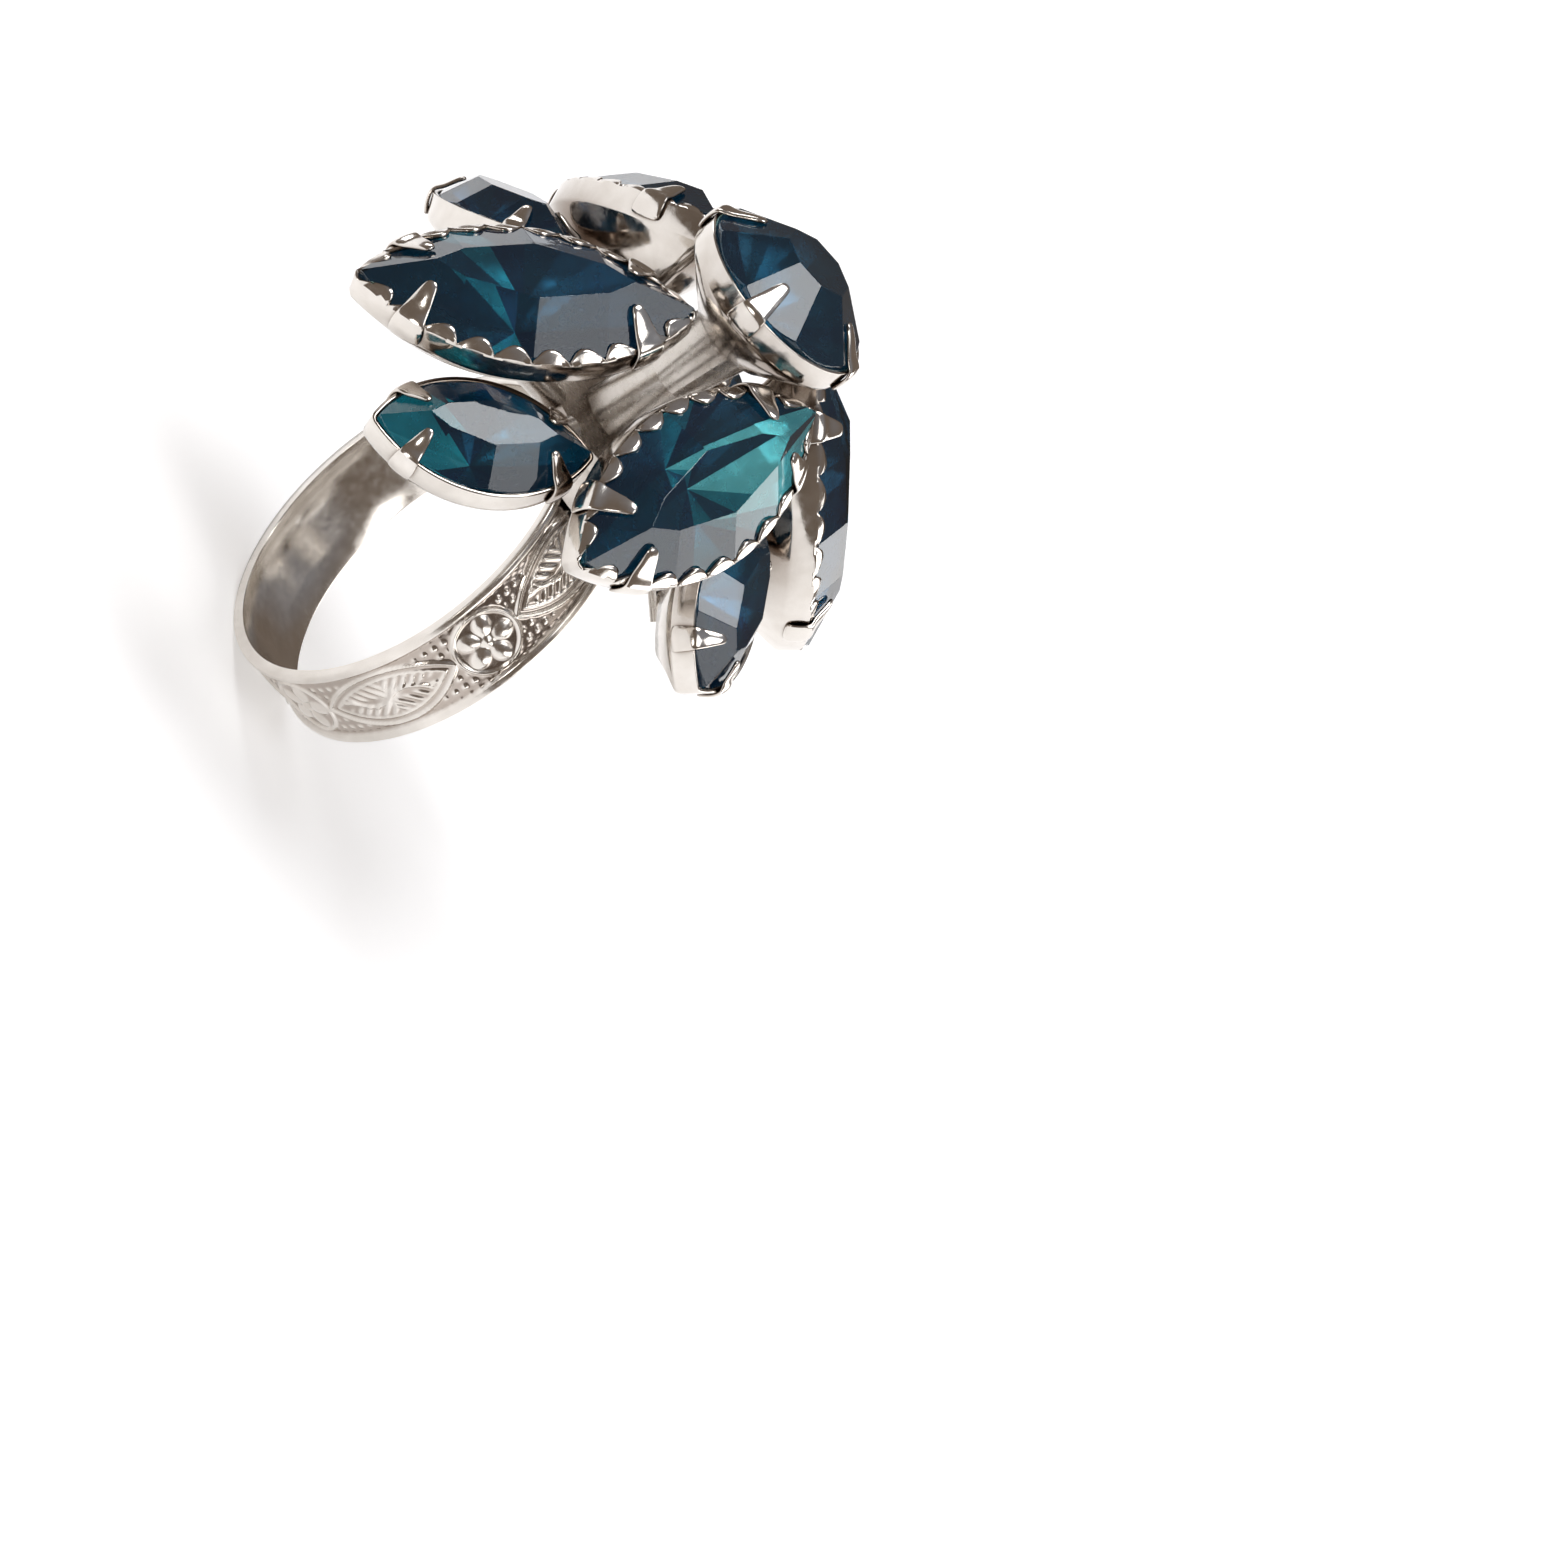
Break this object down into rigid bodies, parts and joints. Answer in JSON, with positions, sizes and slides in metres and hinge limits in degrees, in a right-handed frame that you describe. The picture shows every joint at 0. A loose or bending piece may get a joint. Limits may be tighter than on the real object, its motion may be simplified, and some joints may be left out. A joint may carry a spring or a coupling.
{
  "type": "cocktail ring",
  "caption": "Cocktail ring with a raised round glass stone over a pinwheel of claw-set navette stones, soldered to a narrow embossed band.",
  "frame": {"origin": "centre of the finger hole, halfway across the band", "axes": "+Y along the finger towards the hand, +Z from the finger hole up through the head, +X across the finger"},
  "size_m": [0.0312, 0.032, 0.0329],
  "materials": {
    "band_metal": "silver-tone plating over embossed sheet, bright on the raised lines and darker in the recesses",
    "setting_metal": "bright silver-tone plating on pressed sheet",
    "glass_stone": "polished faceted glass, deep teal blue, foiled underneath"
  },
  "bodies": {
    "root": {"band": "band_metal", "saddle": "setting_metal", "star_plate": "setting_metal", "centre_post": "setting_metal", "centre_cup": "setting_metal", "centre_stone": "glass_stone", "large_cup_1": "setting_metal", "large_cup_2": "setting_metal", "large_cup_3": "setting_metal", "large_cup_4": "setting_metal", "large_stone_1": "glass_stone", "large_stone_2": "glass_stone", "large_stone_3": "glass_stone", "large_stone_4": "glass_stone", "small_cup_1": "setting_metal", "small_cup_2": "setting_metal", "small_cup_3": "setting_metal", "small_cup_4": "setting_metal", "small_stone_1": "glass_stone", "small_stone_2": "glass_stone", "small_stone_3": "glass_stone", "small_stone_4": "glass_stone"}
  },
  "joints": []
}
